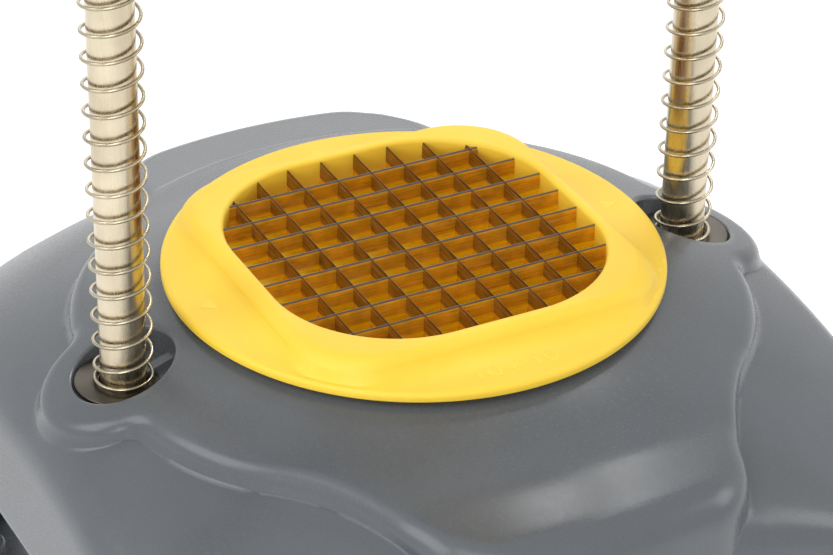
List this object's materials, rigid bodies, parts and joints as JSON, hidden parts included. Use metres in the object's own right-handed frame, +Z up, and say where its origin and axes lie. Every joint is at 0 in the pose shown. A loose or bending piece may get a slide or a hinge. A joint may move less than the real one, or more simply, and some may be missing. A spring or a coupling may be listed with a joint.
{
  "type": "french fry cutter",
  "caption": "Push-down french fry cutter: a grey four-legged base with a lift-out yellow blade grid, two sprung guide rods and a two-handled slotted pusher",
  "frame": {"origin": "on the table, midway between the four feet and under the middle of the blade grid", "axes": "+X to the user's right along the line of the two guide rods, +Y to the back, +Z up along the rods"},
  "size_m": [0.378, 0.2374, 0.375],
  "materials": {
    "grey_plastic": "fine-grained satin blue-grey moulding",
    "dark_plastic": "satin dark grey moulding",
    "yellow_plastic": "smooth semi-gloss warm yellow moulding",
    "blade_steel": "ground along the blade's length",
    "rod_steel": "drawn and polished stainless bar",
    "spring_steel": "bright drawn wire",
    "plate_steel": "rolled stainless sheet",
    "fastener_steel": "bright stainless fasteners",
    "rubber": "matt black rubber",
    "bush_plastic": "waxy off-white bearing plastic",
    "grip_plastic": "soft-touch dark grip"
  },
  "bodies": {
    "base": {"base_shell": "grey_plastic", "insert_frame": "yellow_plastic", "blades_lengthwise": "blade_steel", "blades_crosswise": "blade_steel", "guide_rod_left": "rod_steel", "guide_rod_right": "rod_steel", "rod_washers": "fastener_steel", "rod_bolts": "fastener_steel", "spring_seats": "fastener_steel", "spring_left": "spring_steel", "spring_right": "spring_steel", "stop_bumpers": "rubber", "rod_caps": "dark_plastic", "cap_screws": "fastener_steel", "foot_front_left": "rubber", "foot_front_right": "rubber", "foot_rear_left": "rubber", "foot_rear_right": "rubber", "foot_screws": "fastener_steel"},
    "carriage": {"crosshead": "grey_plastic", "crosshead_cover": "dark_plastic", "cover_screws": "fastener_steel", "bush_lower_left": "bush_plastic", "bush_lower_right": "bush_plastic", "bush_upper_left": "bush_plastic", "bush_upper_right": "bush_plastic", "spring_cups": "fastener_steel", "pusher_block": "yellow_plastic", "pusher_backplate": "plate_steel", "pusher_screws": "fastener_steel", "handle_stud_left": "fastener_steel", "handle_stud_right": "fastener_steel", "handle_set_screws": "fastener_steel", "grip_left": "grip_plastic", "grip_right": "grip_plastic", "grip_caps": "dark_plastic"}
  },
  "joints": [
    {"name": "carriage_slide", "type": "slide", "parent": "base", "child": "carriage", "axis": [0, 0, -1], "range_m": [0, 0.15], "stiffness_N_per_m": 207, "springref_m": -0.06, "deforming": ["spring_left", "spring_right"]}
  ]
}
